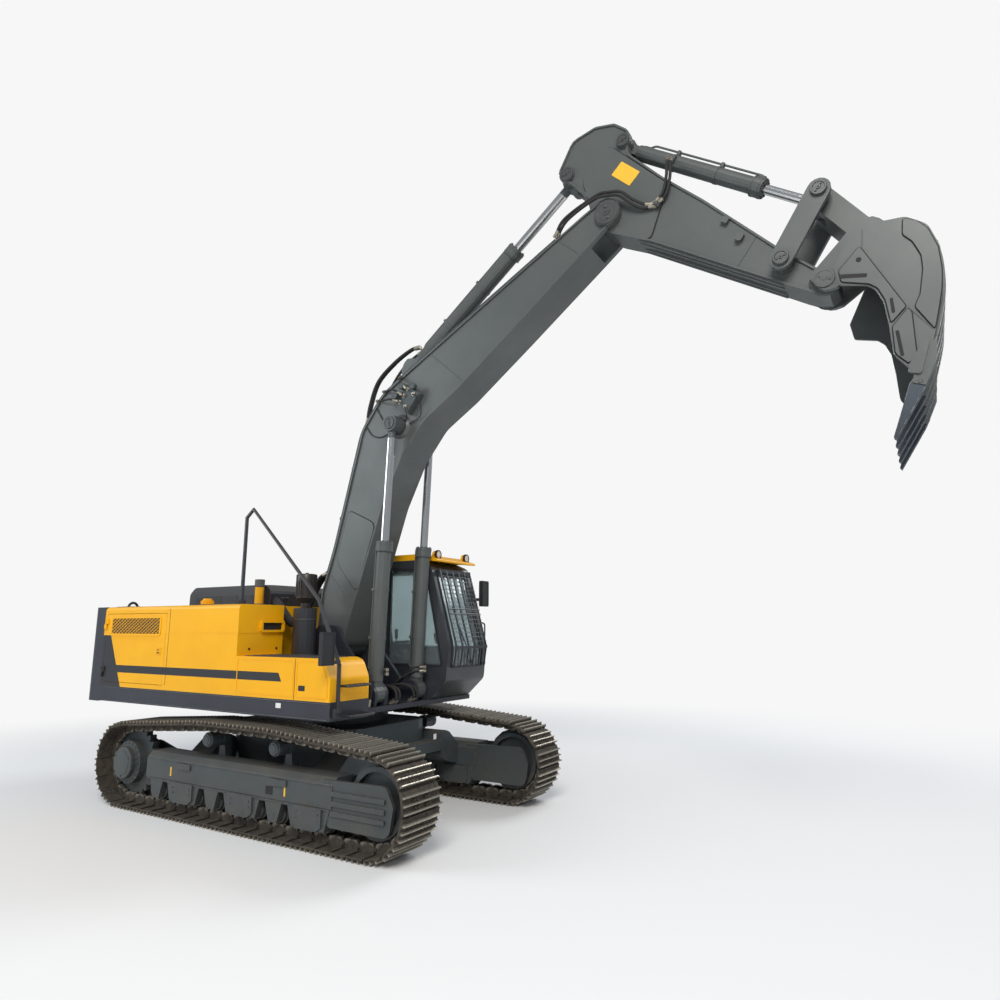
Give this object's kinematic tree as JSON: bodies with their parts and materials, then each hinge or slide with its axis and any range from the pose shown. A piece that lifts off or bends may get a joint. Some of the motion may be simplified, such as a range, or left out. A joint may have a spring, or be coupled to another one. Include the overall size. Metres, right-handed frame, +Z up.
{
  "type": "crawler excavator",
  "caption": "Crawler excavator with a one-piece boom, short arm and toothed digging bucket, cab, engine house, counterweight and tracked undercarriage",
  "frame": {"origin": "on the ground below the middle of the whole machine at rest", "axes": "+Z up, +X towards the bucket, +Y to the machine's left; the tracks point along X"},
  "size_m": [11.1499, 3.42, 8.3504],
  "materials": {
    "black": "matt black",
    "charcoal": "satin charcoal paint",
    "chrome": "polished chrome",
    "engine": "painted casting",
    "glass": "tinted glass",
    "seat": "dark fabric",
    "steel": "worn dusty steel",
    "yellow": "gloss yellow paint"
  },
  "bodies": {
    "undercarriage": {"car_body": "charcoal", "idler_left": "charcoal", "idler_right": "charcoal", "slewing_ring": "charcoal", "sprocket_left": "charcoal", "sprocket_right": "charcoal", "track_frame_left": "charcoal", "track_frame_right": "charcoal", "track_left": "steel", "track_right": "steel"},
    "upper": {"air_filter": "charcoal", "cab_shell": "charcoal", "console": "black", "counterweight": "charcoal", "engine_block": "engine", "exhaust_pipe": "yellow", "filler_cap": "yellow", "front_guard": "black", "fuel_tank": "yellow", "handrail": "charcoal", "house_shell": "yellow", "mirror_left": "black", "mirror_right": "black", "pane_front": "glass", "pane_left": "glass", "pane_rear": "glass", "pane_right_front": "glass", "pane_right_rear": "glass", "precleaner": "black", "radiator": "black", "revolving_frame": "charcoal", "roof_visor": "yellow", "seat": "seat", "tool_box": "yellow"},
    "engine_hood": {"engine_hood": "black"},
    "right_rear_door": {"right_rear_door": "yellow"},
    "left_rear_door": {"left_rear_door": "yellow"},
    "left_mid_door": {"left_mid_door": "yellow"},
    "cab_door": {"cab_door": "charcoal", "pane_door": "glass"},
    "boom": {"boom": "charcoal"},
    "arm": {"arm": "charcoal"},
    "bucket": {"bucket": "charcoal"},
    "boom_barrel_right": {"boom_barrel_right": "charcoal"},
    "boom_barrel_left": {"boom_barrel_left": "charcoal"},
    "boom_rod_right": {"boom_rod_right": "chrome"},
    "boom_rod_left": {"boom_rod_left": "chrome"},
    "arm_barrel": {"arm_barrel": "charcoal"},
    "arm_rod": {"arm_rod": "chrome"},
    "bucket_barrel": {"bucket_barrel": "charcoal"},
    "bucket_rod": {"bucket_rod": "chrome"},
    "rocker": {"rocker_right": "charcoal", "rocker_left": "charcoal"},
    "bucket_link": {"bucket_link": "charcoal"}
  },
  "joints": [
    {"name": "swing", "type": "hinge", "parent": "undercarriage", "child": "upper", "pos_m": [-1.965, 0, 1.29], "axis": [0, 0, 1], "continuous": true},
    {"name": "boom_hinge", "type": "hinge", "parent": "upper", "child": "boom", "pos_m": [-1.765, 0, 2.12], "axis": [0, -1, 0], "range_deg": [-80, 8]},
    {"name": "arm_hinge", "type": "hinge", "parent": "boom", "child": "arm", "pos_m": [2.41312, 0, 7.09929], "axis": [0, 1, 0], "range_deg": [-55, 62]},
    {"name": "bucket_hinge", "type": "hinge", "parent": "arm", "child": "bucket", "pos_m": [4.6356, 0, 5.656], "axis": [0, 1, 0], "range_deg": [-61, 105]},
    {"name": "rocker_hinge", "type": "hinge", "parent": "arm", "child": "rocker", "pos_m": [4.27159, 0, 5.94008], "axis": [0, 1, 0], "range_deg": [-45.14, 77.7]},
    {"name": "link_hinge", "type": "hinge", "parent": "rocker", "child": "bucket_link", "pos_m": [4.66462, 0, 6.56708], "axis": [0, 1, 0], "range_deg": [-46.2, 26.84]},
    {"name": "boom_barrel_right_hinge", "type": "hinge", "parent": "upper", "child": "boom_barrel_right", "pos_m": [-0.815, 0, 1.49], "axis": [0, -1, 0], "range_deg": [-83.6, 8.36]},
    {"name": "boom_rod_right_slide", "type": "slide", "parent": "boom_barrel_right", "child": "boom_rod_right", "axis": [0.0469, 0, 0.9989], "range_m": [-1.44, 0.145]},
    {"name": "boom_barrel_left_hinge", "type": "hinge", "parent": "upper", "child": "boom_barrel_left", "pos_m": [-0.815, 0, 1.49], "axis": [0, -1, 0], "range_deg": [-83.6, 8.36]},
    {"name": "boom_rod_left_slide", "type": "slide", "parent": "boom_barrel_left", "child": "boom_rod_left", "axis": [0.0469, 0, 0.9989], "range_m": [-1.44, 0.145]},
    {"name": "arm_rod_slide", "type": "slide", "parent": "arm_barrel", "child": "arm_rod", "axis": [0.7836, 0, 0.6213], "range_m": [-0.736, 0.829]},
    {"name": "bucket_barrel_hinge", "type": "hinge", "parent": "arm", "child": "bucket_barrel", "pos_m": [2.61564, 0, 8.01705], "axis": [0, 1, 0], "range_deg": [-2.44, 4.2]},
    {"name": "bucket_rod_slide", "type": "slide", "parent": "bucket_barrel", "child": "bucket_rod", "axis": [0.8163, 0, -0.5776], "range_m": [-0.481, 0.826]},
    {"name": "arm_barrel_hinge", "type": "hinge", "parent": "boom", "child": "arm_barrel", "pos_m": [-0.61016, 0, 5.87655], "axis": [0, 1, 0], "range_deg": [-12, 12]},
    {"name": "right_rear_door_hinge", "type": "hinge", "parent": "upper", "child": "right_rear_door", "pos_m": [-5.005, -1.508, 2], "axis": [0, 0, -1], "range_deg": [0, 80]},
    {"name": "left_rear_door_hinge", "type": "hinge", "parent": "upper", "child": "left_rear_door", "pos_m": [-5.005, 1.508, 2], "axis": [0, 0, 1], "range_deg": [0, 80]},
    {"name": "left_mid_door_hinge", "type": "hinge", "parent": "upper", "child": "left_mid_door", "pos_m": [-3.805, 1.508, 2], "axis": [0, 0, 1], "range_deg": [0, 80]},
    {"name": "cab_door_hinge", "type": "hinge", "parent": "upper", "child": "cab_door", "pos_m": [-1.605, 1.488, 2.2], "axis": [0, 0, 1], "range_deg": [0, 165]},
    {"name": "engine_hood_hinge", "type": "hinge", "parent": "upper", "child": "engine_hood", "pos_m": [-4.403, 0, 2.618], "axis": [0, -1, 0], "range_deg": [0, 60]}
  ],
  "couplings": [
    {"joint": "rocker_hinge", "follows": "bucket_hinge", "ratio": 0.74},
    {"joint": "link_hinge", "follows": "bucket_hinge", "ratio": -0.44},
    {"joint": "bucket_barrel_hinge", "follows": "bucket_hinge", "ratio": 0.04},
    {"joint": "bucket_rod_slide", "follows": "bucket_hinge", "m_per_rad": 0.45},
    {"joint": "arm_rod_slide", "follows": "arm_hinge", "m_per_rad": 0.765},
    {"joint": "arm_barrel_hinge", "follows": "arm_hinge", "ratio": 0.02},
    {"joint": "boom_barrel_right_hinge", "follows": "boom_hinge", "ratio": 1.045},
    {"joint": "boom_rod_right_slide", "follows": "boom_hinge", "m_per_rad": 1.03},
    {"joint": "boom_barrel_left_hinge", "follows": "boom_hinge", "ratio": 1.045},
    {"joint": "boom_rod_left_slide", "follows": "boom_hinge", "m_per_rad": 1.03}
  ]
}
